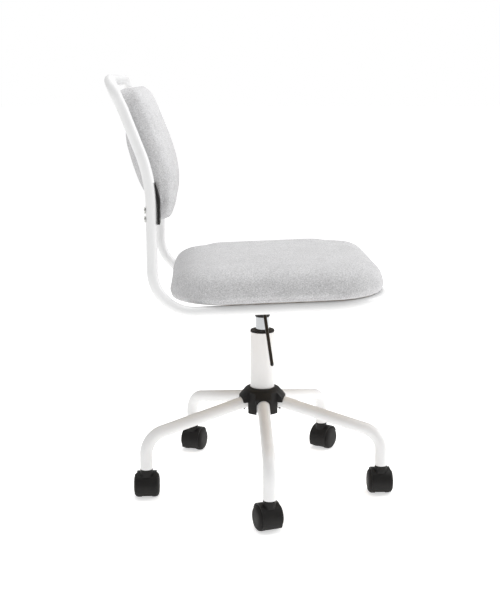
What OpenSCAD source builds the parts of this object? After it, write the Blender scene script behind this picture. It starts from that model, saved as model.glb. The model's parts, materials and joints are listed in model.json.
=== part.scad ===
// Swivel desk chair: a bent tube frame with a padded seat and backrest, on a gas lift
// and a five-legged base with twin-wheel casters.
// Units are millimetres. +X is the front of the chair, +Y its left side and +Z up.
// The origin is on the floor under the middle of the column, with the seat at its lowest.

/* [Frame] */
// Outer diameter of the frame tube
frame_d = 20; // [18:0.5:22]
// Distance between the centre lines of the two side tubes
frame_w = 416; // [400:2:430]
// Height of the seat rails' centre line over the origin
rail_z = 417.5; // [410:0.5:425]
// Angle by which the seat rises towards the front, in degrees
seat_pitch = 1.9; // [0:0.1:3]
// Distance from the column to the front bar
front_reach = 224; // [215:1:235]
// Distance from the column back to the uprights
rear_reach = 212; // [205:1:220]
// Height of the handle bar's centre line
handle_z = 828; // [815:1:840]

/* [Cushions] */
// Width of the seat cushion
seat_w = 444; // [430:2:450]
// Depth of the seat cushion, front to back
seat_depth = 412; // [400:2:420]
// Thickness of the seat cushion at its middle
seat_thick = 64; // [55:1:75]
// Width of the backrest
back_w = 392; // [380:2:394]

/* [Base] */
// Radius of the circle on which the five caster stems stand
stem_circle_r = 250; // [240:1:270]
// Outer diameter of a leg tube
leg_d = 25; // [24:0.5:26]
// Downward slope of the legs, in degrees
leg_slope = 13.7; // [10:0.1:16]
// Height of the leg's centre line over the origin where it leaves the hub
leg_root_z = 182; // [180:0.5:184]

/* [Gas lift] */
// Diameter of the outer column
column_d = 50; // [50:0.5:51]
// Height of the top of the outer column
column_top_z = 326; // [320:1:330]
// Diameter of the chrome cylinder
cylinder_d = 28; // [28:0.5:28]
// Height of the lower rim of the socket that takes the cylinder
socket_z = 357; // [352:1:360]

/* [Casters] */
// Diameter of a caster wheel
wheel_d = 50; // [48:1:50]
// Width of one wheel at its tread
wheel_w = 15; // [13:0.5:16]
// Distance from the swivel axis back to the wheel axle
trail = 9; // [7:0.5:10]
// Direction in which the wheels of caster 1 trail, in degrees
caster_yaw_1 = 90; // [-180:1:180]
// Direction in which the wheels of caster 2 trail, in degrees
caster_yaw_2 = 108; // [-180:1:180]
// Direction in which the wheels of caster 3 trail, in degrees
caster_yaw_3 = 90; // [-180:1:180]
// Direction in which the wheels of caster 4 trail, in degrees
caster_yaw_4 = 53; // [-180:1:180]
// Direction in which the wheels of caster 5 trail, in degrees
caster_yaw_5 = 67; // [-180:1:180]

/* [Hidden] */
$fn = 48;
eps = 0.05;

powder_white = [0.93, 0.93, 0.92];
moulded_black = [0.08, 0.08, 0.08];
coated_black = [0.05, 0.05, 0.05];
bright_chrome = [0.80, 0.81, 0.83];
plain_steel = [0.60, 0.61, 0.63];
cloth_grey = [0.80, 0.80, 0.80];
board_wood = [0.76, 0.62, 0.44];
rubber_black = [0.10, 0.10, 0.10];

// Frame
frame_r = frame_d / 2;
frame_wall = 1.5;
half_w = frame_w / 2;
front_bend_r = 115;
rear_bend_r = 76;
upright_bend_z = 657;
upright_bend_r = 270;
lean = 20.9;
top_lean = 24.7;
top_bend_z = 777;
top_bend_r = 120;
handle_bend_r = 32;
upper_x = -rear_reach - (top_bend_z - upright_bend_z) * tan(lean);
handle_x = upper_x - (handle_z - top_bend_z) * tan(top_lean);
cross_rail_x = 60;
cross_rail_w = 20;
cross_rail_h = 16;
cross_rail_wall = 1.5;
screw_hole_r = 3.2;
back_screw_z = [584, 600];

// Seat
board_gap = 0.3;
board_t = 9;
board_inset = 14;
cushion_base_z = frame_r + board_gap + 0.2;
seat_corner_r = 108;
seat_mid_x = 22.5;
seat_screw_y = 120;

// Backrest
back_gap = 0.5;
back_board_t = 5;
back_low_z = 576;
back_high_z = 812;
back_corner_r = 36;
ear_low_z = 575;
ear_top_z = 650;

// Base
leg_r = leg_d / 2;
leg_wall = 1.5;
leg_bend_r = 46;
leg_end_z = 62.5;
leg_count = 5;
first_leg_angle = -162;
hub_r = 30;
hub_low_z = 160;
hub_high_z = 203;
cover_r = 38.5;
cover_wall = 2.4;
cover_low_z = 158;
cover_top_z = 210;
brow_reach = 48;
brow_w = 33;
brow_z = 192;
column_r = column_d / 2;
column_low_z = 158;
column_wall = 2.1;
column_foot_t = 3;
taper_top_z = 205;
taper_low_r = 24.2;

// Lift
cylinder_r = cylinder_d / 2;
cylinder_low_z = 176;
cylinder_top_z = 407;
cylinder_wall = 2;
cylinder_roof_z = 385;
cone_tip_r = 13.4;
cone_tip_h = 4;
fit_gap = 0.05;
rod_r = 5;
rod_low_z = 151;
piston_z = 330;
piston_h = 11.5;
pin_r = 4;
pin_low_z = 394;
pin_top_z = 412;
race_r = 15;
race_h = 1.5;
ball_r = 2;
ball_circle_r = 10.5;
lower_race_z = column_low_z + column_foot_t + 0.1;
ball_z = lower_race_z + race_h + ball_r + 0.2;
upper_race_z = ball_z + ball_r + 0.3;
collar_z = upper_race_z + race_h + 0.1;
collar_h = 3;

// Mechanism
socket_r = 15.7;
socket_top_z = 400.5;
pan_t = 2.5;
pan_floor_z = -20;
pan_half_x = 42;
pan_half_y = 52;
flange_z = -6;
bolt_x = 60;
bolt_y = 40;
bolt_r = 4;
lever_r = 3.25;
lever_x = -4;
lever_pivot_y = -48;
lever_pivot_z = 411;
lever_inner_end = [0, 5, 417.05];
lever_outer_end = [6.2, -205, 311.3];
lever_pin_r = 2.5;

// Casters
wheel_r = wheel_d / 2;
wheel_inner_y = 9.8;
axle_r = 4;
axle_half = 21.4;
fender_inner_r = wheel_r + 1;
fender_outer_r = fender_inner_r + 2.4;
fender_half = 19.5;
web_half = 9.2;
neck_r = 12;
neck_top_z = 57.6;
stem_r = 5.5;
stem_head_r = 6.8;
caster_yaw = [caster_yaw_1, caster_yaw_2, caster_yaw_3, caster_yaw_4, caster_yaw_5];

// ---- Helpers -------------------------------------------------------------------------------

function unit(v) = v / norm(v);
// Unit vector at right angles to u, in the plane of u and v and on v's side
function aside(u, v) = unit(v - (u * v) * u);
// Unit vector from point i to the next point of a path
function heading(path, i) = unit(path[(i + 1) % len(path)] - path[i]);
// Length that the bend at point i takes off each of its two straights
function setback(path, bends, i) =
    let (before = (i + len(path) - 1) % len(path))
    bends[i] * tan(acos(heading(path, before) * heading(path, i)) / 2);
// Point on the seat plane, d in front of the column, at side y and height h over the rail line
function seat_point(d, y, h) = [
    d, y,
    rail_z + d * tan(seat_pitch) + h
];

// Straight rod from a to b
module straight(a, b, r) {
    d = b - a;
    translate(a)
        rotate([0, acos(d[2] / norm(d)), atan2(d[1], d[0])])
            cylinder(h = norm(d), r = r);
}

// Bent rod round a corner, from direction u to direction v
module bend(corner, u, v, bend_r, r) {
    turn = acos(u * v);
    n = aside(u, v);
    centre = corner - u * bend_r * tan(turn / 2) + n * bend_r;
    z = cross(-n, u);
    multmatrix([
        [-n[0], u[0], z[0], centre[0]],
        [-n[1], u[1], z[1], centre[1]],
        [-n[2], u[2], z[2], centre[2]]
    ])
        rotate_extrude(angle = turn) translate([bend_r, 0]) circle(r = r);
}

// Rod along a path with a bend at each point; an open path has straight ends.
// Each straight laps into its bends, which are a little thicker, so that they join cleanly.
module bent_rod(path, bends, r, closed) {
    last = len(path) - 1;
    lap = 0.5;
    swell = 0.15;
    for (i = [0 : closed ? last : last - 1]) {
        j = (i + 1) % len(path);
        start_cut = (!closed && i == 0) ? 0 : setback(path, bends, i) - lap;
        end_cut = (!closed && j == last) ? 0 : setback(path, bends, j) - lap;
        u = heading(path, i);
        straight(path[i] + u * start_cut, path[j] - u * end_cut, r);
        if (closed || j != last) bend(path[j], u, heading(path, j), bends[j], r + swell);
    }
}

module bent_tube(path, bends, r, wall, closed) {
    difference() {
        bent_rod(path, bends, r, closed);
        bent_rod(path, bends, r - wall, closed);
    }
}

// Places its children on the seat plane, with z = 0 on the rails' centre line
module on_seat_plane() {
    translate([0, 0, rail_z]) rotate([0, -seat_pitch, 0]) children();
}

// Flat rounded rectangle between two x values
module rounded_plan(x0, x1, w, r) {
    translate([x0 + r, -w / 2 + r]) circle(r = r);
    translate([x0 + r, w / 2 - r]) circle(r = r);
    translate([x1 - r, -w / 2 + r]) circle(r = r);
    translate([x1 - r, w / 2 - r]) circle(r = r);
    translate([x0 + r, -w / 2]) square([x1 - x0 - 2 * r, w]);
    translate([x0, -w / 2 + r]) square([x1 - x0, w - 2 * r]);
}

// Solid from a side profile of [x, z] points, spread over the width w
module side_slab(profile, w) {
    translate([0, w / 2, 0]) rotate([90, 0, 0]) linear_extrude(w) polygon(profile);
}

// Front outline of the backrest as a deep block, for trimming its parts
module back_outline(w, low, high, r) {
    translate([-400, 0, 0])
        rotate([90, 0, 90])
            linear_extrude(400)
                translate([0, (low + high) / 2])
                    rotate(90)
                        rounded_plan(-(high - low) / 2, (high - low) / 2, w, r);
}

function arc_point(c, r, a) = [c[0] + r * cos(a), c[1] + r * sin(a)];

// Side path of the uprights between two heights, moved d forwards of their centre line
function back_line(z0, z1, d) = concat(
    [[-rear_reach + d, z0]],
    [for (i = [0 : 6]) arc_point(
        [-rear_reach - upright_bend_r, upright_bend_z - upright_bend_r * tan(lean / 2)],
        upright_bend_r + d, lean * i / 6)],
    [for (i = [0 : 2]) arc_point(
        [
            upper_x - cos(lean) * top_bend_r + sin(lean) * top_bend_r * tan((top_lean - lean) / 2),
            top_bend_z - sin(lean) * top_bend_r - cos(lean) * top_bend_r * tan((top_lean - lean) / 2)
        ],
        top_bend_r + d, lean + (top_lean - lean) * i / 2)],
    [[
        upper_x - (z1 - top_bend_z) * tan(top_lean) + d / cos(top_lean),
        z1
    ]]
);

function reversed(list) = [for (i = [len(list) - 1 : -1 : 0]) list[i]];

// ---- Base ----------------------------------------------------------------------------------

function leg_angle(i) = first_leg_angle + 360 * (i - 1) / leg_count;
leg_corner_z = leg_root_z - (stem_circle_r - hub_r) * tan(leg_slope);
leg_path = [
    [hub_r - 3, 0, leg_root_z + 3 * tan(leg_slope)],
    [stem_circle_r, 0, leg_corner_z],
    [stem_circle_r, 0, leg_end_z]
];

module column_taper(grow) {
    translate([0, 0, column_low_z])
        cylinder(h = taper_top_z - column_low_z, r1 = taper_low_r + grow, r2 = column_r + grow);
}

module hub() {
    color(powder_white)
        difference() {
            translate([0, 0, hub_low_z]) cylinder(h = hub_high_z - hub_low_z, r = hub_r);
            column_taper(0.03);
        }
}

// Space that one leg takes through the hub cover, with the slot under it
module leg_passage() {
    gap = 0.8;
    slope_end = stem_circle_r - leg_bend_r - 20;
    drop = (slope_end - hub_r) * tan(leg_slope);
    straight([0, 0, leg_root_z + hub_r * tan(leg_slope)], [slope_end, 0, leg_root_z - drop], leg_r + gap);
    translate([hub_r, -leg_r - gap, cover_low_z - 5])
        cube([60, leg_d + 2 * gap, leg_root_z - cover_low_z]);
}

// Dome with a drooping brim; grow makes the matching inner surface
module cover_dome(grow) {
    rotate_extrude()
        polygon([
            [0, cover_top_z + grow],
            [column_r + 3, cover_top_z + grow],
            [column_r + 10, cover_top_z - 3.5 + grow],
            [brow_reach - 5, brow_z + 6 + grow],
            [brow_reach + grow, brow_z + grow],
            [brow_reach + grow, cover_low_z - 5],
            [0, cover_low_z - 5]
        ]);
}

module hub_cover() {
    color(moulded_black)
        difference() {
            intersection() {
                cover_dome(0);
                union() {
                    translate([0, 0, cover_low_z]) cylinder(h = 60, r = cover_r);
                    for (i = [1 : leg_count])
                        rotate(leg_angle(i))
                            translate([0, -brow_w / 2, brow_z - 10]) cube([brow_reach, brow_w, 40]);
                }
            }
            intersection() {
                cover_dome(-cover_wall);
                translate([0, 0, cover_low_z - 5]) cylinder(h = 60, r = cover_r - cover_wall);
            }
            translate([0, 0, cover_low_z]) cylinder(h = 60, r = column_r + 0.2);
            for (i = [1 : leg_count]) rotate(leg_angle(i)) leg_passage();
        }
}

module leg(i) {
    color(powder_white)
        rotate(leg_angle(i))
            difference() {
                bent_tube(leg_path, [0, leg_bend_r, 0], leg_r, leg_wall, false);
                cylinder(h = 400, r = hub_r + eps);
            }
}

module leg_sockets() {
    plug_r = leg_r - leg_wall - eps;
    flange_low_z = 58;
    color(moulded_black)
        for (i = [1 : leg_count])
            rotate(leg_angle(i))
                translate([stem_circle_r, 0, 0])
                    difference() {
                        union() {
                            translate([0, 0, flange_low_z])
                                cylinder(h = leg_end_z - flange_low_z - eps, r = leg_r + 0.2);
                            translate([0, 0, flange_low_z]) cylinder(h = 30, r = plug_r);
                        }
                        translate([0, 0, flange_low_z - 1]) cylinder(h = 40, r = stem_r + 0.01);
                    }
}

module caster_stems() {
    head_z = 33.8;
    color(plain_steel)
        for (i = [1 : leg_count])
            rotate(leg_angle(i))
                translate([stem_circle_r, 0, 0]) {
                    translate([0, 0, head_z]) cylinder(h = 52, r = stem_r);
                    translate([0, 0, head_z]) cylinder(h = 2.2, r = stem_head_r);
                }
}

// ---- Gas lift ------------------------------------------------------------------------------

module outer_column() {
    color(powder_white)
        difference() {
            union() {
                column_taper(0);
                translate([0, 0, taper_top_z]) cylinder(h = column_top_z - taper_top_z, r = column_r);
            }
            translate([0, 0, column_low_z + column_foot_t]) cylinder(h = 300, r = column_r - column_wall);
            translate([0, 0, column_low_z - 1]) cylinder(h = 10, r = rod_r + 0.08);
        }
}

module guide_bush() {
    bush_low_z = column_top_z - 74;
    rim_h = 4;
    color(moulded_black)
        difference() {
            union() {
                translate([0, 0, bush_low_z])
                    cylinder(h = column_top_z - bush_low_z, r = column_r - column_wall - eps);
                translate([0, 0, column_top_z]) cylinder(h = rim_h - 1, r = column_r - 0.2);
                translate([0, 0, column_top_z + rim_h - 1])
                    cylinder(h = 1, r1 = column_r - 0.2, r2 = column_r - 1.2);
            }
            translate([0, 0, bush_low_z - 1]) cylinder(h = 100, r = cylinder_r + fit_gap);
        }
}

// Flat ring with its lower face at height z
module washer(z, h, inner_r, outer_r) {
    translate([0, 0, z])
        difference() {
            cylinder(h = h, r = outer_r);
            translate([0, 0, -1]) cylinder(h = h + 2, r = inner_r);
        }
}

module bearing_lower_race() {
    color(plain_steel) washer(lower_race_z, race_h, rod_r + 1, race_r);
}

module bearing_balls() {
    ball_count = 8;
    color(bright_chrome)
        for (i = [1 : ball_count])
            rotate(360 * i / ball_count) translate([ball_circle_r, 0, ball_z]) sphere(r = ball_r);
}

module bearing_upper_race() {
    color(plain_steel) washer(upper_race_z, race_h, rod_r + 0.02, race_r);
}

module piston_rod() {
    color(bright_chrome) {
        translate([0, 0, rod_low_z]) cylinder(h = piston_z + piston_h + 0.5 - rod_low_z, r = rod_r);
        translate([0, 0, collar_z]) cylinder(h = collar_h, r = rod_r + 3);
    }
}

module piston() {
    color(moulded_black) washer(piston_z, piston_h, rod_r + 0.01, cylinder_r - cylinder_wall - fit_gap);
}

module rod_clip() {
    color(plain_steel) washer(column_low_z - 2.4, 1.6, rod_r + 0.02, rod_r + 4);
}

module rod_buffer() {
    color(rubber_black) washer(collar_z + collar_h + 0.1, 3, rod_r + 0.02, rod_r + 6);
}

module cylinder_cone(grow) {
    translate([0, 0, socket_z])
        cylinder(
            h = cylinder_top_z - cone_tip_h - socket_z,
            r1 = cylinder_r + grow,
            r2 = cone_tip_r + grow
        );
}

module gas_cylinder() {
    color(bright_chrome)
        difference() {
            union() {
                translate([0, 0, cylinder_low_z]) cylinder(h = socket_z - cylinder_low_z, r = cylinder_r);
                cylinder_cone(0);
                translate([0, 0, cylinder_top_z - cone_tip_h])
                    cylinder(h = cone_tip_h, r = cone_tip_r - 2);
            }
            translate([0, 0, cylinder_low_z - 1])
                cylinder(h = cylinder_roof_z - cylinder_low_z + 1, r = cylinder_r - cylinder_wall);
            translate([0, 0, cylinder_roof_z - 1]) cylinder(h = 40, r = pin_r + fit_gap);
        }
}

module rod_guide() {
    color(moulded_black)
        washer(cylinder_low_z, 20, rod_r + fit_gap, cylinder_r - cylinder_wall - 0.02);
}

module valve_pin() {
    color(plain_steel)
        translate([0, 0, pin_low_z]) cylinder(h = pin_top_z - pin_low_z, r = pin_r);
}

// ---- Seat mechanism ------------------------------------------------------------------------

module taper_socket() {
    rim_h = 3;
    color(coated_black)
        difference() {
            union() {
                translate([0, 0, socket_z]) cylinder(h = rim_h, r1 = socket_r - 0.7, r2 = socket_r);
                translate([0, 0, socket_z + rim_h])
                    cylinder(h = socket_top_z - socket_z - rim_h, r = socket_r);
            }
            cylinder_cone(0.02);
        }
}

module mechanism_pan() {
    flange_x = bolt_x + 12;
    ear_x = 8;
    ear_low_z = 398.5;
    slot_low_z = 401;
    wall_h = flange_z - pan_floor_z;
    color(coated_black)
        difference() {
            union() {
                on_seat_plane() {
                    difference() {
                        translate([-pan_half_x, -pan_half_y, pan_floor_z])
                            cube([2 * pan_half_x, 2 * pan_half_y, wall_h]);
                        translate([-pan_half_x + pan_t, -pan_half_y + pan_t, pan_floor_z + pan_t])
                            cube([2 * (pan_half_x - pan_t), 2 * (pan_half_y - pan_t), wall_h]);
                    }
                    difference() {
                        translate([-flange_x, -pan_half_y, flange_z - pan_t])
                            cube([2 * flange_x, 2 * pan_half_y, pan_t]);
                        translate([-pan_half_x + pan_t, -pan_half_y + pan_t, flange_z - 10])
                            cube([2 * (pan_half_x - pan_t), 2 * (pan_half_y - pan_t), 20]);
                    }
                }
                for (side = [-1, 1])
                    translate([lever_x + side * ear_x - pan_t / 2, lever_pivot_y - 6, ear_low_z])
                        cube([pan_t, 12, lever_pivot_z + 6 - ear_low_z]);
            }
            translate([0, 0, 380]) cylinder(h = 40, r = socket_r + 0.02);
            translate([lever_x - 20, lever_pivot_y, lever_pivot_z])
                rotate([0, 90, 0]) cylinder(h = 40, r = lever_pin_r + 0.02);
            translate([lever_x - 6.5, -pan_half_y - 5, slot_low_z]) cube([13, 8, 30]);
            on_seat_plane()
                for (x = [-bolt_x, bolt_x], y = [-bolt_y, bolt_y])
                    translate([x, y, flange_z - 10]) cylinder(h = 20, r = bolt_r + 0.3);
        }
}

module mechanism_bolts() {
    head_h = 5;
    color(plain_steel)
        on_seat_plane()
            for (x = [-bolt_x, bolt_x], y = [-bolt_y, bolt_y])
                translate([x, y, 0]) {
                    translate([0, 0, flange_z - pan_t - head_h]) cylinder(h = head_h, r = 6.5, $fn = 6);
                    translate([0, 0, flange_z - pan_t - 1]) cylinder(h = 12, r = bolt_r);
                }
}

module lever() {
    pivot = [lever_x, lever_pivot_y, lever_pivot_z];
    boss_half = 6;
    color(coated_black)
        difference() {
            union() {
                straight(pivot, lever_inner_end, lever_r);
                translate(lever_inner_end) sphere(r = lever_r + 0.15);
                straight(pivot, lever_outer_end, lever_r);
                translate(lever_outer_end) sphere(r = lever_r + 0.15);
                translate(pivot - [boss_half, 0, 0])
                    rotate([0, 90, 0]) cylinder(h = 2 * boss_half, r = 5.5);
            }
            translate(pivot - [10, 0, 0])
                rotate([0, 90, 0]) cylinder(h = 20, r = lever_pin_r + fit_gap);
        }
}

module lever_pin() {
    color(plain_steel)
        translate([lever_x - 11, lever_pivot_y, lever_pivot_z])
            rotate([0, 90, 0]) cylinder(h = 22, r = lever_pin_r);
}

// ---- Frame ---------------------------------------------------------------------------------

function side_path(y) = [
    seat_point(front_reach, y, 0),
    seat_point(-rear_reach, y, 0),
    [-rear_reach, y, upright_bend_z],
    [upper_x, y, top_bend_z],
    [handle_x, y, handle_z]
];
side_bends = [front_bend_r, rear_bend_r, upright_bend_r, top_bend_r, handle_bend_r];

// Puts its children at each back screw, below the uprights' bend, with +X towards the front
module at_back_screws() {
    for (z = back_screw_z, side = [-1, 1]) translate([-rear_reach, side * half_w, z]) children();
}

module frame_tube() {
    color(powder_white)
        difference() {
            bent_tube(
                concat(side_path(-half_w), reversed(side_path(half_w))),
                concat(side_bends, reversed(side_bends)),
                frame_r, frame_wall, true
            );
            at_back_screws()
                translate([-frame_r - 2, 0, 0])
                    rotate([0, 90, 0]) cylinder(h = frame_d + 4, r = screw_hole_r);
        }
}

// Rectangular tube across the frame at distance x from the column
module cross_rail(x) {
    half_l = half_w - 5;
    low = frame_r - cross_rail_h;
    color(powder_white)
        on_seat_plane()
            difference() {
                translate([x - cross_rail_w / 2, -half_l, low])
                    cube([cross_rail_w, 2 * half_l, cross_rail_h]);
                translate([x - cross_rail_w / 2 + cross_rail_wall, -half_l - 1, low + cross_rail_wall])
                    cube([
                        cross_rail_w - 2 * cross_rail_wall,
                        2 * half_l + 2,
                        cross_rail_h - 2 * cross_rail_wall
                    ]);
                for (side = [-1, 1])
                    translate([x - 50, side * half_w, 0])
                        rotate([0, 90, 0]) cylinder(h = 100, r = frame_r + eps);
                for (y = [-bolt_y, bolt_y])
                    translate([x, y, low - 1]) cylinder(h = cross_rail_h / 2, r = bolt_r + 0.02);
                for (y = [-seat_screw_y, seat_screw_y])
                    translate([x, y, low - 1]) cylinder(h = cross_rail_h + 2, r = 2.6);
            }
}

// ---- Seat ----------------------------------------------------------------------------------

seat_x0 = seat_mid_x - seat_depth / 2;
seat_x1 = seat_mid_x + seat_depth / 2;

module seat_plan(inset) {
    rounded_plan(seat_x0 + inset, seat_x1 - inset, seat_w - 2 * inset, seat_corner_r - inset * 0.6);
}

module seat_board() {
    color(board_wood)
        on_seat_plane()
            difference() {
                translate([0, 0, frame_r + board_gap]) linear_extrude(board_t) seat_plan(board_inset);
                for (x = [-cross_rail_x, cross_rail_x], y = [-seat_screw_y, seat_screw_y])
                    translate([x, y, frame_r]) cylinder(h = board_t - 1, r = 2.5);
            }
}

module seat_screws() {
    low = frame_r - cross_rail_h;
    color(plain_steel)
        on_seat_plane()
            for (x = [-cross_rail_x, cross_rail_x], y = [-seat_screw_y, seat_screw_y])
                translate([x, y, 0]) {
                    translate([0, 0, low - 2.6]) cylinder(h = 2.6, r = 5);
                    translate([0, 0, low - 1]) cylinder(h = cross_rail_h + 8, r = 2.45);
                }
}

// Thin layer of the seat cushion at a height over its underside
module seat_layer(h, inset) {
    translate([0, 0, cushion_base_z + h]) linear_extrude(0.5) seat_plan(inset);
}

module seat_cushion() {
    color(cloth_grey)
        on_seat_plane()
            difference() {
                hull($fn = 32) {
                    seat_layer(0, 6);
                    seat_layer(12, 0);
                    seat_layer(seat_thick - 24, 0);
                    seat_layer(seat_thick - 12, 9);
                    seat_layer(seat_thick - 5, 32);
                    seat_layer(seat_thick - 0.5, 80);
                }
                translate([0, 0, cushion_base_z - 5])
                    linear_extrude(board_t + 5 + board_gap) seat_plan(board_inset - 0.7);
            }
}

// ---- Backrest ------------------------------------------------------------------------------

board_rear = frame_r + back_gap;
board_front = board_rear + back_board_t;

// Side profile of the ears that carry the board on the uprights, thinning out along their bend
ear_profile = [
    [board_rear - rear_reach, ear_low_z],
    [board_front - rear_reach, ear_low_z],
    [board_front - rear_reach, ear_top_z - 43],
    [board_front - rear_reach - 1, ear_top_z - 25],
    [board_front - rear_reach - 7.7, ear_top_z],
    [board_rear - rear_reach - 3.1, ear_top_z],
    [board_rear - rear_reach - 0.8, ear_top_z - 20],
    [board_rear - rear_reach, ear_top_z - 35]
];

module back_board() {
    board_w = back_w - 14;
    ear_w = 40;
    color(moulded_black)
        difference() {
            union() {
                intersection() {
                    side_slab(
                        concat(back_line(back_low_z, back_high_z, board_rear),
                            reversed(back_line(back_low_z, back_high_z, board_front))),
                        back_w
                    );
                    back_outline(board_w, back_low_z + 4, back_high_z - 14, back_corner_r);
                }
                for (side = [-1, 1])
                    translate([0, side * (half_w + 6 - ear_w / 2), 0]) side_slab(ear_profile, ear_w);
            }
            at_back_screws()
                translate([frame_r - 5, 0, 0]) rotate([0, 90, 0]) cylinder(h = 20, r = 2.6);
        }
}

module back_screws() {
    color(plain_steel)
        at_back_screws() {
            translate([-frame_r - 2.6, 0, 0]) rotate([0, 90, 0]) cylinder(h = 2.6, r = 5.5);
            translate([-frame_r - 1, 0, 0])
                rotate([0, 90, 0]) cylinder(h = frame_d + 1 + back_gap + back_board_t, r = 2.55);
        }
}

// Side profiles of the backrest as [x, z]: the padded front at its middle and at its edges
front_middle = [
    [-190, 577], [-180, 585], [-174, 599], [-166, 634], [-173, 670],
    [-194, 738], [-208, 781], [-221, 805], [-236, 812], [-252, 811]
];
front_edge = [
    [-192, 577], [-184, 583], [-178, 602], [-174, 626], [-187, 673],
    [-209, 742], [-222, 778], [-238, 802], [-252, 810]
];
// Side profiles of the padded rear between the uprights
rear_middle = [[-222, 601], [-237, 615], [-250, 655], [-274, 736], [-276, 754], [-266, 769]];
rear_edge = [[-216, 600], [-224, 612], [-232, 655], [-257, 736], [-264, 756], [-260, 770]];

module back_cushion() {
    clear = 0.4;
    color(cloth_grey)
        difference() {
            hull($fn = 32) {
                intersection() {
                    side_slab(concat([[-262, 808], [-198, back_low_z]], front_edge), back_w);
                    back_outline(back_w, back_low_z, back_high_z + 2, back_corner_r);
                }
                intersection() {
                    side_slab(concat([[-262, 808], [-198, back_low_z]], front_middle), back_w - 130);
                    back_outline(back_w - 130, back_low_z, back_high_z + 2, back_corner_r);
                }
            }
            side_slab(
                concat([[-340, 500]], back_line(500, 860, board_front + clear), [[-400, 860]]),
                back_w + 20
            );
        }
}

module back_rear_pad() {
    rear_pad_low_z = 600;
    rear_pad_high_z = 772;
    clear = 0.5;
    inner = back_line(580, 788, board_rear - clear);
    pad_w = frame_w - frame_d - 8;
    color(cloth_grey)
        difference() {
            hull($fn = 32) {
                intersection() {
                    side_slab(concat(inner, reversed(rear_edge)), pad_w);
                    back_outline(pad_w, rear_pad_low_z, rear_pad_high_z, 60);
                }
                side_slab(concat([[-216, 604], [-252, 764]], reversed(rear_middle)), pad_w - 150);
            }
            side_slab(
                concat([[-100, 500]], back_line(500, 860, board_rear - clear), [[-100, 860]]),
                back_w + 20
            );
        }
}

// ---- Casters -------------------------------------------------------------------------------

// Places its children at caster i, with the origin on the floor under its stem and +X trailing
module at_caster(i) {
    rotate(leg_angle(i))
        translate([stem_circle_r, 0, 0])
            rotate(caster_yaw[i - 1] - leg_angle(i))
                children();
}

// Turns a solid lathed about Z so that its axis lies along the axle
module on_axle() {
    translate([trail, 0, wheel_r]) rotate([-90, 0, 0]) children();
}

module caster_hood(i) {
    sweep = 190;
    rear_end = -25;
    color(moulded_black)
        at_caster(i)
            difference() {
                union() {
                    on_axle()
                        rotate(rear_end - sweep)
                            rotate_extrude(angle = sweep)
                                translate([fender_inner_r, -fender_half])
                                    square([fender_outer_r - fender_inner_r, 2 * fender_half]);
                    intersection() {
                        on_axle()
                            translate([0, 0, -web_half]) cylinder(h = 2 * web_half, r = fender_outer_r - 0.5);
                        translate([-30, 0, 0])
                            rotate([90, 0, 0])
                                translate([0, 0, -30])
                                    linear_extrude(60)
                                        polygon([
                                            [0, 8], [46, 8], [66, 40], [66, 60], [0, 60]
                                        ]);
                    }
                    translate([0, 0, wheel_d - 4]) cylinder(h = neck_top_z - wheel_d + 4, r = neck_r);
                }
                on_axle() translate([0, 0, -30]) cylinder(h = 60, r = axle_r + 0.02);
                translate([0, 0, 36.4]) cylinder(h = 40, r = stem_r + fit_gap);
                translate([0, 0, 31]) cylinder(h = 5.41, r = stem_head_r + 0.35);
                for (side = [-1, 1])
                    on_axle()
                        translate([0, 0, side * (wheel_inner_y - 0.4 + 20) - 20])
                            cylinder(h = 40, r = wheel_r + 0.6);
            }
}

module caster_axle(i) {
    color(plain_steel)
        at_caster(i) on_axle() translate([0, 0, -axle_half]) cylinder(h = 2 * axle_half, r = axle_r);
}

// One wheel; side is 1 for the wheel on +Y of the caster and -1 for the other
module caster_wheel(i, side) {
    outer_y = wheel_inner_y + wheel_w;
    color(moulded_black)
        at_caster(i)
            translate([trail, 0, wheel_r])
                rotate([-90 * side, 0, 0])
                    rotate_extrude()
                        polygon([
                            [0, axle_half + 0.3],
                            [0, outer_y + 1.2],
                            [wheel_r - 11, outer_y + 0.9],
                            [wheel_r - 5, outer_y - 0.3],
                            [wheel_r - 1.6, outer_y - 3],
                            [wheel_r - 0.4, outer_y - 5.5],
                            [wheel_r, outer_y - 8],
                            [wheel_r, wheel_inner_y + 1],
                            [wheel_r - 1, wheel_inner_y],
                            [axle_r + fit_gap, wheel_inner_y],
                            [axle_r + fit_gap, axle_half + 0.3]
                        ]);
}

// ---- Nodes ---------------------------------------------------------------------------------

hub();
hub_cover();
for (i = [1 : leg_count])
    leg(i);
leg_sockets();
caster_stems();
outer_column();
guide_bush();
bearing_lower_race();
bearing_balls();
bearing_upper_race();
piston_rod();
piston();
rod_clip();
rod_buffer();
gas_cylinder();
rod_guide();
valve_pin();
taper_socket();
mechanism_pan();
mechanism_bolts();
lever();
lever_pin();
frame_tube();
cross_rail(cross_rail_x);  // cross_rail_front
cross_rail(-cross_rail_x);  // cross_rail_rear
seat_board();
seat_screws();
seat_cushion();
back_board();
back_screws();
back_cushion();
back_rear_pad();
for (i = [1 : leg_count]) {
    caster_hood(i);
    caster_axle(i);
    caster_wheel(i, -1);
    caster_wheel(i, 1);
}
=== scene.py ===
"""Looks for the swivel desk chair: cloth, powder coat, chrome and moulded plastic round the CAD frame."""

import json
import math

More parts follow.
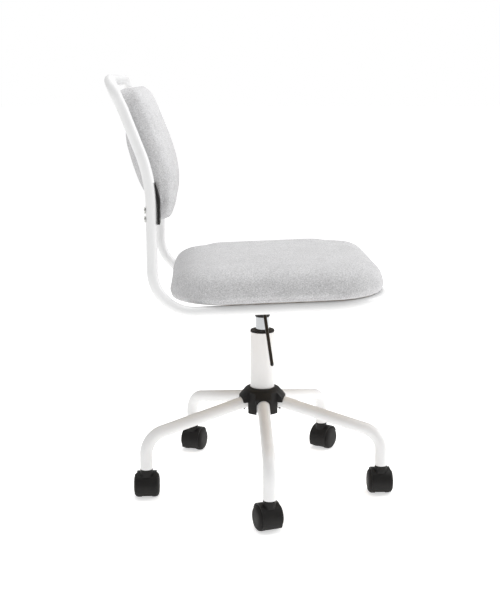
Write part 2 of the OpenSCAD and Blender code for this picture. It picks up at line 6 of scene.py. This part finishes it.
import bpy
import numpy as np
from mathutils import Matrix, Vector


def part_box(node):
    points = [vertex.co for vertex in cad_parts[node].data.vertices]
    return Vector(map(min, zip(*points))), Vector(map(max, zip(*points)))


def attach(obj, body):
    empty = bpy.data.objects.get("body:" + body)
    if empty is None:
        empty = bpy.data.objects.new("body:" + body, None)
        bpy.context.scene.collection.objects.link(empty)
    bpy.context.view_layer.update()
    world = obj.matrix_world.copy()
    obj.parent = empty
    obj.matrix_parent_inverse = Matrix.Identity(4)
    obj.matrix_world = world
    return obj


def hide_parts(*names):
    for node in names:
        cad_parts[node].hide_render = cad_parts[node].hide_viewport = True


MM = 0.001

# Camera: where it stands round the chair, in degrees and metres, and how it looks
CAMERA_AZIMUTH = -3.3
CAMERA_DISTANCE = 2.105
CAMERA_HEIGHT = 0.831
CAMERA_PITCH = 12.11
CAMERA_HEADING = -2.61
CAMERA_LENS = 62.34
CAMERA_SENSOR = 36.0

# Strength of the surroundings as a light; they show as pure white
SKY_LIGHT = 0.48
# Point that the lights face
LIT_POINT = Vector((0.0, 0.0, 0.45))

# Rounding of the CAD nodes' sharp edges, in metres, where it isn't the usual one
EDGES = {"hub_cover": 0.0024, "mechanism_pan": 0.0005, "taper_socket": 0.0006, "guide_bush": 0.0006}
CASTER_EDGE = 0.0008
USUAL_EDGE = 0.0003
SHARP_ANGLE = math.radians(38)
WELD_DISTANCE = 0.000002

# Cloth: distance from thread to thread, and how far stuffing swells a pad
THREAD_PITCH = 0.0016
STUFFING_PRESSURE = 5.0
MOST_SWELL = 0.003
SWELL_FRAMES = 20

# Seat pad: how the seat is pitched, the pad's plan and the height of its foot over the board's middle
SEAT_PITCH = math.radians(1.9)
SEAT_CORNER = 0.108
SEAT_BASE = -0.0043

# Back pad: the height of its head, and its plan
BACK_HEAD_Z = 0.808
BACK_CORNER = 0.034
REAR_CORNER = 0.055
# How much of the rear pad's thickness is gone at its foot and head
REAR_TAPER = 0.72

# Back board's ears: their front face with a little room, their top, and the height that they fade over
EAR_FRONT_X = -0.1961
EAR_TOP_Z = 0.650
EAR_FADE = 0.030

# Uprights: the CAD frame's bends, as heights, leans and radii
LEAN = math.radians(20.9)
TOP_LEAN = math.radians(24.7)
LEAN_Z = 0.657
TOP_LEAN_Z = 0.777
UPRIGHT_X = -0.212
LEAN_BEND_R = 0.270
BEND_FROM_Z = LEAN_Z - LEAN_BEND_R * math.tan(LEAN / 2)
# Length that the uprights run straight at the lower lean
LEAN_RUN = (TOP_LEAN_Z - LEAN_Z) / math.cos(LEAN) - LEAN_BEND_R * math.tan(LEAN / 2)

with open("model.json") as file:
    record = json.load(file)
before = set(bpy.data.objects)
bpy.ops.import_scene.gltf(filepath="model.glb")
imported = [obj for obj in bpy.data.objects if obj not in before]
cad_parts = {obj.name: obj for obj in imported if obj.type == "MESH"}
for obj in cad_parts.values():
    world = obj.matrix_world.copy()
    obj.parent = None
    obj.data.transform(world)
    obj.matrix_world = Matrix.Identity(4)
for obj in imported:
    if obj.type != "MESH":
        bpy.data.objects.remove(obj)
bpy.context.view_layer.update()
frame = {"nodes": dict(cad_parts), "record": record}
NODES = frame["nodes"]


# ---- Materials -----------------------------------------------------------------------------


def set_inputs(tree, node, inputs):
    for name, value in inputs.items():
        if isinstance(value, bpy.types.NodeSocket):
            tree.links.new(value, node.inputs[name])
        else:
            node.inputs[name].default_value = value


def add(tree, kind, inputs, output=0, **settings):
    """Adds one shader node and returns one of its outputs."""
    node = tree.nodes.new("ShaderNode" + kind)
    for name, value in settings.items():
        setattr(node, name, value)
    set_inputs(tree, node, inputs)
    return node.outputs[output]


def maths(tree, operation, a, b=0.0):
    return add(tree, "Math", {0: a, 1: b}, operation=operation)


def noise(tree, place, scale, detail=2.0):
    return add(tree, "TexNoise", {"Vector": place, "Scale": scale, "Detail": detail})


def stretched(tree, place, scale):
    return add(tree, "VectorMath", {0: place, 1: scale}, operation="MULTIPLY")


def split(tree, vector):
    """The three parts of a vector."""
    node = tree.nodes.new("ShaderNodeSeparateXYZ")
    tree.links.new(vector, node.inputs[0])
    return list(node.outputs)


def ramp(tree, factor, low, high, at=(0.3, 0.7)):
    """Blends between two colours or values as factor goes between two places."""
    node = tree.nodes.new("ShaderNodeValToRGB")
    tree.links.new(factor, node.inputs[0])
    for stop, place, value in zip(node.color_ramp.elements, at, (low, high)):
        stop.position = place
        stop.color = (value, value, value, 1.0) if isinstance(value, float) else (*value, 1.0)
    return node.outputs[0]


def bump(tree, height, distance, strength):
    return add(tree, "Bump", {"Height": height, "Distance": distance, "Strength": strength})


def material(name, **sockets):
    """A new material, its tree and its shader; sockets are the shader's own values."""
    made = bpy.data.materials.new(name)
    made.use_nodes = True
    shader = made.node_tree.nodes["Principled BSDF"]
    set_inputs(made.node_tree, shader, {k.replace("_", " "): v for k, v in sockets.items()})
    return made, made.node_tree, shader


def own_place(tree):
    return add(tree, "TexCoord", {}, "Object")


def weave(tree, place, pitch):
    """Height of a plain weave: a checker of threads in the plane that the surface faces."""
    turns = add(tree, "VectorMath", {0: place, "Scale": math.tau / pitch}, operation="SCALE")
    waves = [maths(tree, "SINE", part) for part in split(tree, turns)]
    facing = split(tree, add(tree, "TexCoord", {}, "Normal"))
    total = None
    for axis in range(3):
        across = maths(tree, "MULTIPLY", waves[(axis + 1) % 3], waves[(axis + 2) % 3])
        share = maths(tree, "MULTIPLY", facing[axis], facing[axis])
        part = maths(tree, "MULTIPLY", across, share)
        total = part if total is None else maths(tree, "ADD", total, part)
    return total


def heather_cloth():
    """Woven grey cloth with light and dark flecks along its threads, and faint cloudy patches."""
    made, tree, shader = material(
        "heather_cloth", Roughness=0.93, Sheen_Weight=0.2, Sheen_Roughness=0.45, Specular_IOR_Level=0.25
    )
    dark, light = (0.37, 0.368, 0.373), (0.78, 0.777, 0.784)
    thread_share, cloud_share = 0.05, 0.10
    place = own_place(tree)
    threads = weave(tree, place, THREAD_PITCH)
    warp = noise(tree, stretched(tree, place, (270.0, 1200.0, 1050.0)), 1.0)
    weft = noise(tree, stretched(tree, place, (1200.0, 270.0, 450.0)), 1.0)
    fleck = maths(tree, "MULTIPLY", maths(tree, "ADD", warp, weft), 0.5)
    cloud = noise(tree, stretched(tree, place, (30.0, 30.0, 60.0)), 1.0, 3.0)
    patches = maths(tree, "MULTIPLY", maths(tree, "SUBTRACT", cloud, 0.5), cloud_share)
    tone = maths(tree, "ADD", fleck, maths(tree, "MULTIPLY", threads, thread_share))
    tone = maths(tree, "ADD", tone, patches)
    set_inputs(tree, shader, {
        "Base Color": ramp(tree, tone, dark, light, (0.35, 0.68)),
        "Normal": bump(tree, maths(tree, "ADD", threads, fleck), 0.00022, 0.5),
    })
    return made


def powder_coat():
    """White baked paint with a fine orange peel."""
    made, tree, shader = material("powder_coat", Coat_Weight=0.15, Coat_Roughness=0.25)
    place = own_place(tree)
    peel = noise(tree, place, 620.0)
    cloud = noise(tree, place, 9.0, 3.0)
    set_inputs(tree, shader, {
        "Base Color": ramp(tree, cloud, (0.79, 0.79, 0.79), (0.85, 0.85, 0.85)),
        "Roughness": ramp(tree, peel, 0.34, 0.46),
        "Normal": bump(tree, peel, 0.00006, 0.5),
    })
    return made


def moulded_plastic(name, tone, low_gloss, high_gloss):
    """Black plastic with a fine moulded grain, lighter where it is rubbed."""
    made, tree, shader = material(name, Specular_IOR_Level=0.22)
    place = own_place(tree)
    grain = noise(tree, place, 1400.0)
    rub = noise(tree, place, 55.0, 4.0)
    warm = tuple(tone * k for k in (1.08, 1.0, 0.95))
    lighter = tuple(1.5 * c for c in warm)
    set_inputs(tree, shader, {
        "Base Color": ramp(tree, rub, warm, lighter),
        "Roughness": ramp(tree, rub, low_gloss, high_gloss),
        "Normal": bump(tree, grain, 0.00008, 0.45),
    })
    return made


def metal(name, tone, low_gloss, high_gloss, brush):
    """Bare metal with fine marks; brush stretches them across each axis."""
    made, tree, shader = material(name, Metallic=1.0)
    marks = noise(tree, stretched(tree, own_place(tree), brush), 1.0, 3.0)
    set_inputs(tree, shader, {
        "Base Color": ramp(tree, marks, tuple(0.93 * c for c in tone), tone),
        "Roughness": ramp(tree, marks, low_gloss, high_gloss),
        "Normal": bump(tree, marks, 0.00002, 0.3),
    })
    return made


def plywood():
    """Bare board with rings and pores along the chair's length."""
    made, tree, shader = material("plywood", Roughness=0.6)
    place = own_place(tree)
    rings = noise(tree, stretched(tree, place, (14.0, 160.0, 160.0)), 1.0, 4.0)
    pores = noise(tree, stretched(tree, place, (120.0, 1600.0, 1600.0)), 1.0)
    set_inputs(tree, shader, {
        "Base Color": ramp(tree, rings, (0.52, 0.36, 0.20), (0.70, 0.54, 0.34)),
        "Roughness": ramp(tree, pores, 0.5, 0.75),
        "Normal": bump(tree, pores, 0.0001, 0.5),
    })
    return made


CLOTH = heather_cloth()
TREAD = moulded_plastic("tread_plastic", 0.008, 0.55, 0.7)

SLOT_MATERIALS = {
    "powder_white": powder_coat(),
    "moulded_black": moulded_plastic("moulded_plastic", 0.0075, 0.40, 0.55),
    "coated_black": moulded_plastic("black_coating", 0.008, 0.30, 0.42),
    "bright_chrome": metal("chrome", (0.46, 0.47, 0.48), 0.05, 0.12, (30.0, 30.0, 900.0)),
    "plain_steel": metal("zinc_steel", (0.62, 0.62, 0.60), 0.28, 0.42, (300.0, 300.0, 300.0)),
    "cloth_grey": CLOTH,
    "board_wood": plywood(),
    "rubber_black": moulded_plastic("buffer_rubber", 0.020, 0.75, 0.9),
}


# ---- CAD nodes -----------------------------------------------------------------------------


def edge_of(node):
    if node.startswith(("caster_hood", "wheel_")):
        return CASTER_EDGE
    return EDGES.get(node, USUAL_EDGE)


def dress(node, slot):
    """Gives a CAD node its material, smooth curves and slightly rounded edges."""
    piece = NODES[node]
    piece.data.materials.clear()
    piece.data.materials.append(TREAD if node.startswith("wheel_") else SLOT_MATERIALS[slot])
    custom = piece.data.attributes.get("custom_normal")
    if custom:
        piece.data.attributes.remove(custom)
    piece.data.polygons.foreach_set("use_smooth", [True] * len(piece.data.polygons))
    weld = piece.modifiers.new("weld", "WELD")
    weld.merge_threshold = WELD_DISTANCE
    round_off = piece.modifiers.new("edges", "BEVEL")
    round_off.width = edge_of(node)
    round_off.segments = 2
    round_off.limit_method = "ANGLE"
    round_off.angle_limit = SHARP_ANGLE
    round_off.harden_normals = True


for entry in frame["record"]["subparts"]:
    dress(entry["node"], entry["material_slot"])


# ---- Padded forms --------------------------------------------------------------------------


def rim_point(side, q, half_a, half_b, corner):
    """Point on a rounded rectangle. side counts its four sides and q runs along one, -1 to 1."""
    along, off = (half_a, half_b) if side % 2 == 0 else (half_b, half_a)
    flat = along - corner
    way = abs(q) * (flat + corner * math.pi / 4)
    turn = max(0.0, way - flat) / corner
    a = math.copysign(min(way, flat) + corner * math.sin(turn), q)
    b = -off + corner * (1 - math.cos(turn))
    return ((a, b), (-b, a), (-a, -b), (b, -a))[side]


def side_of(s, t):
    """Side and q of the rim point that a point of a square, away from its middle, lies towards."""
    m = max(abs(s), abs(t))
    if abs(t) >= abs(s):
        return (0, s / m) if t < 0 else (2, -s / m)
    return (1, t / m) if s > 0 else (3, -t / m)


def band(first, second):
    """Faces between two loops of as many vertices."""
    count = len(first)
    return [
        (first[k], second[k], second[(k + 1) % count], first[(k + 1) % count])
        for k in range(count)
    ]


def pad_mesh(name, half_a, half_b, corner, n, crown, outline, place):
    """A closed padded form on a rounded rectangle.

    outline is (inset, height) in millimetres, from the top's edge outwards, down the sides and under;
    crown(m) is the top's height from m 0 at its middle to 1 at its edge. n, an even number, is how many
    faces run along each side. place puts a local point in the row frame. Returns the object and, for
    each vertex, the ring that it is on, -1 on the top.
    """
    points, faces, ring_of = [], [], []
    rings = [(inset * MM, h * MM) for inset, h in outline]

    def rim(side, q, inset):
        return rim_point(side, q, half_a - inset, half_b - inset, max(corner - 0.75 * inset, 0.006))

    def grid(inset, height_at, ring):
        """An n by n sheet that fills one ring; returns its edge's vertices in rim order."""
        index = {}
        for i in range(n + 1):
            for j in range(n + 1):
                s, t = 2 * i / n - 1, 2 * j / n - 1
                m = max(abs(s), abs(t))
                a, b = (m * c for c in rim(*side_of(s, t), inset)) if m else (0.0, 0.0)
                index[i, j] = len(points)
                points.append((a, b, height_at(m)))
                ring_of.append(ring)
        order = [(k, 0) for k in range(n)] + [(n, k) for k in range(n)]
        order += [(n - k, n) for k in range(n)] + [(0, n - k) for k in range(n)]
        quads = [
            (index[i, j], index[i + 1, j], index[i + 1, j + 1], index[i, j + 1])
            for i in range(n)
            for j in range(n)
        ]
        return [index[k] for k in order], quads

    edge, quads = grid(rings[0][0], lambda m: rings[0][1] + crown(m), -1)
    faces += quads
    for number, (inset, height) in enumerate(rings[1:-1], 1):
        start = len(points)
        for side in range(4):
            for k in range(n):
                points.append((*rim(side, 2 * k / n - 1, inset), height))
                ring_of.append(number)
        new = list(range(start, len(points)))
        faces += band(edge, new)
        edge = new
    last, quads = grid(rings[-1][0], lambda m: rings[-1][1], len(rings) - 1)
    faces += [q[::-1] for q in quads]
    faces += band(edge, last)
    mesh = bpy.data.meshes.new(name)
    mesh.from_pydata([place(*p) for p in points], [], faces)
    mesh.polygons.foreach_set("use_smooth", [True] * len(mesh.polygons))
    mesh.update()
    piece = bpy.data.objects.new(name, mesh)
    bpy.context.scene.collection.objects.link(piece)
    return piece, np.array(ring_of)


def get_points(mesh):
    co = np.zeros(len(mesh.vertices) * 3)
    mesh.vertices.foreach_get("co", co)
    return co.reshape(-1, 3)


def set_points(mesh, co):
    mesh.vertices.foreach_set("co", co.ravel())
    mesh.update()


def inflate(piece, pinned):
    """Swells a pad as stuffed cloth: pinned vertices stay, and no point moves more than MOST_SWELL."""
    rest = get_points(piece.data)
    group = piece.vertex_groups.new(name="pinned")
    group.add([int(i) for i in np.flatnonzero(pinned)], 1.0, "REPLACE")
    cloth = piece.modifiers.new("cloth", "CLOTH")
    settings = cloth.settings
    settings.quality = 6
    settings.mass = 0.25
    settings.tension_stiffness = settings.compression_stiffness = 22
    settings.shear_stiffness = 8
    settings.bending_stiffness = 1.5
    settings.use_pressure = True
    settings.uniform_pressure_force = STUFFING_PRESSURE
    settings.effector_weights.gravity = 0
    settings.vertex_group_mass = group.name
    cloth.point_cache.frame_start, cloth.point_cache.frame_end = 1, SWELL_FRAMES
    scene = bpy.context.scene
    for number in range(1, SWELL_FRAMES + 1):
        scene.frame_set(number)
    shaped = piece.evaluated_get(bpy.context.evaluated_depsgraph_get()).to_mesh()
    moved = get_points(shaped) - rest
    piece.modifiers.remove(cloth)
    scene.frame_set(1)
    length = np.linalg.norm(moved, axis=1, keepdims=True)
    moved *= np.minimum(1.0, MOST_SWELL / np.maximum(length, 1e-9))
    set_points(piece.data, rest + moved)


def soften(piece, rounds, keep):
    """Evens out a mesh, with the vertices in keep held still."""
    mesh = piece.data
    co = get_points(mesh)
    ends = np.zeros(len(mesh.edges) * 2, np.int64)
    mesh.edges.foreach_get("vertices", ends)
    a, b = ends.reshape(-1, 2).T
    count = np.bincount(ends, minlength=len(co))[:, None]
    for _ in range(rounds):
        total = np.zeros_like(co)
        np.add.at(total, a, co[b])
        np.add.at(total, b, co[a])
        co = np.where(keep[:, None], co, 0.5 * co + 0.5 * total / count)
    set_points(mesh, co)


def finish_pad(piece, node):
    """Smooths a pad, covers it in cloth and lets it stand for a CAD cushion on the seat's body."""
    smooth = piece.modifiers.new("smooth", "SUBSURF")
    smooth.levels = smooth.render_levels = 1
    piece.data.materials.append(CLOTH)
    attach(piece, "seat")
    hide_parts(node)


# ---- Seat ----------------------------------------------------------------------------------


def make_seat_pad():
    board_low, board_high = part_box("seat_board")
    pad_low, pad_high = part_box("seat_cushion")
    middle = (board_low + board_high) / 2
    half_depth = (pad_high.x - pad_low.x) / 2
    half_width = (pad_high.y - pad_low.y) / 2
    cos, sin = math.cos(SEAT_PITCH), math.sin(SEAT_PITCH)

    def place(a, b, h):
        h += SEAT_BASE
        return (middle.x + a * cos - h * sin, middle.y + b, middle.z + a * sin + h * cos)

    outline = [
        (30, 54.5), (22, 53), (15, 50), (9.6, 45.8), (5.8, 40.6), (3.2, 34.6), (1.6, 28.4), (1, 22),
        (1.4, 16), (2.6, 11), (4.2, 8.2), (3.8, 6.6), (5.4, 4.2), (8, 2), (11, 0.8), (13.1, 0.4),
        (13.2, 5), (13.4, 9.8),
    ]
    piece, ring = pad_mesh(
        "seat_pad", half_depth, half_width, SEAT_CORNER, 56, lambda m: 0.008 * (1 - m**2.2),
        outline, place,
    )
    inflate(piece, ring >= 9)
    soften(piece, 6, ring >= 8)
    finish_pad(piece, "seat_cushion")


# ---- Backrest ------------------------------------------------------------------------------


def upright(length):
    """Point on the uprights' centre line, a length up from where they start to bend, and its lean."""
    if length <= 0:
        return UPRIGHT_X, BEND_FROM_Z + length, 0.0
    lean = min(length / LEAN_BEND_R, LEAN)
    x = UPRIGHT_X - LEAN_BEND_R * (1 - math.cos(lean))
    z = BEND_FROM_Z + LEAN_BEND_R * math.sin(lean)
    straight = max(length - LEAN_BEND_R * LEAN, 0.0)
    lower, upper = min(straight, LEAN_RUN), max(straight - LEAN_RUN, 0.0)
    x -= lower * math.sin(LEAN) + upper * math.sin(TOP_LEAN)
    z += lower * math.cos(LEAN) + upper * math.cos(TOP_LEAN)
    return x, z, TOP_LEAN if upper else lean


def upright_length(z):
    """Length along the uprights, from the start of their bend, at which they reach a height."""
    low, high = -0.2, 0.4
    for _ in range(30):
        middle = (low + high) / 2
        low, high = (middle, high) if upright(middle)[1] < z else (low, middle)
    return low


def back_place(middle):
    """Placer for a pad: a across the chair, b along the uprights and h out from their centre line."""

    def place(a, b, h):
        x, z, lean = upright(middle + b)
        return x + h * math.cos(lean), a, z + h * math.sin(lean)

    return place


def clear_of_ears(mesh):
    """Moves a pad's points in front of the back board's ears, fading out towards the ears' tops."""
    co = get_points(mesh)
    share = np.clip((EAR_TOP_Z - co[:, 2]) / EAR_FADE, 0.0, 1.0)
    co[:, 0] += share * np.maximum(EAR_FRONT_X - co[:, 0], 0.0)
    set_points(mesh, co)


def make_back_pad():
    low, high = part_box("back_cushion")
    half_width = (high.y - low.y) / 2
    foot, head = upright_length(low.z), upright_length(BACK_HEAD_Z)
    outline = [
        (14, 37.6), (9, 36.9), (5.2, 35), (2.8, 32), (1.5, 28), (0.8, 23), (0.5, 17.5), (0.4, 12.5),
        (0.6, 8.5), (1.4, 5.5), (3.4, 3.6), (7, 3.4),
    ]
    piece, ring = pad_mesh(
        "back_pad", half_width, (head - foot) / 2, BACK_CORNER, 48, lambda m: 0.009 * (1 - m**2),
        outline, back_place((foot + head) / 2),
    )
    inflate(piece, ring >= 8)
    clear_of_ears(piece.data)
    soften(piece, 3, ring >= 8)
    finish_pad(piece, "back_cushion")


def make_rear_pad():
    low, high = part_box("back_rear_pad")
    half_width = (high.y - low.y) / 2
    foot, head = upright_length(low.z), upright_length(high.z)
    half_height = (head - foot) / 2
    along = back_place((foot + head) / 2)

    def place(a, b, h):
        """Thins the padding towards the pad's foot and head."""
        return along(a, b, h * (1 - REAR_TAPER * (b / half_height) ** 2) if h < 0 else h)

    outline = [
        (34, -22), (25, -20.6), (17, -17.6), (10.5, -13.2), (5.5, -8), (2, -2), (1, 4), (3, 7.6),
        (8, 8.4),
    ]
    piece, ring = pad_mesh(
        "back_rear_cover", half_width, half_height, REAR_CORNER, 48, lambda m: -0.006 * (1 - m**2.2),
        outline, place,
    )
    piece.data.flip_normals()
    inflate(piece, ring >= 6)
    soften(piece, 3, ring >= 6)
    finish_pad(piece, "back_rear_pad")


# ---- Stage ---------------------------------------------------------------------------------


def make_floor():
    """A wide pale floor that glows a little, so that it shows as white as the surroundings."""
    mesh = bpy.data.meshes.new("floor")
    reach = 30.0
    corners = [(-reach, -reach, 0), (reach, -reach, 0), (reach, reach, 0), (-reach, reach, 0)]
    mesh.from_pydata(corners, [], [(0, 1, 2, 3)])
    floor = bpy.data.objects.new("floor", mesh)
    bpy.context.scene.collection.objects.link(floor)
    made, tree, shader = material(
        "floor", Roughness=0.9, Specular_IOR_Level=0.0, Emission_Color=(1.0, 1.0, 1.0, 1.0),
        Emission_Strength=0.58,
    )
    cloud = noise(tree, own_place(tree), 0.7)
    set_inputs(tree, shader, {"Base Color": ramp(tree, cloud, (0.94, 0.94, 0.94), (0.96, 0.96, 0.96))})
    mesh.materials.append(made)


def make_light(name, at, size, power):
    data = bpy.data.lights.new(name, "AREA")
    data.shape = "RECTANGLE"
    data.size = data.size_y = size
    data.energy = power
    light = bpy.data.objects.new(name, data)
    light.location = at
    light.rotation_mode = "QUATERNION"
    light.rotation_quaternion = (LIT_POINT - Vector(at)).to_track_quat("-Z", "Y")
    bpy.context.scene.collection.objects.link(light)


def make_studio():
    """White surroundings that light the chair less brightly than they show, and two soft lights."""
    world = bpy.data.worlds.new("studio")
    world.use_nodes = True
    tree = world.node_tree
    background = tree.nodes["Background"]
    background.inputs["Color"].default_value = (1.0, 1.0, 1.0, 1.0)
    seen = add(tree, "LightPath", {}, "Is Camera Ray")
    level = maths(tree, "ADD", maths(tree, "MULTIPLY", seen, 1.0 - SKY_LIGHT), SKY_LIGHT)
    tree.links.new(level, background.inputs["Strength"])
    bpy.context.scene.world = world
    make_light("overhead", (0.1, 0.2, 2.8), 2.2, 46.0)
    make_light("front", (2.7, 0.5, 1.4), 1.6, 32.0)


def make_camera():
    azimuth = math.radians(CAMERA_AZIMUTH)
    data = bpy.data.cameras.new("camera")
    data.lens = CAMERA_LENS
    data.sensor_width = CAMERA_SENSOR
    camera = bpy.data.objects.new("camera", data)
    camera.location = (
        CAMERA_DISTANCE * math.sin(azimuth), -CAMERA_DISTANCE * math.cos(azimuth), CAMERA_HEIGHT
    )
    camera.rotation_euler = (math.radians(90 - CAMERA_PITCH), 0.0, math.radians(CAMERA_HEADING))
    bpy.context.scene.collection.objects.link(camera)
    bpy.context.scene.camera = camera


make_camera()
make_studio()
make_floor()
make_seat_pad()
make_back_pad()
make_rear_pad()
bpy.context.scene.view_settings.view_transform = "Standard"
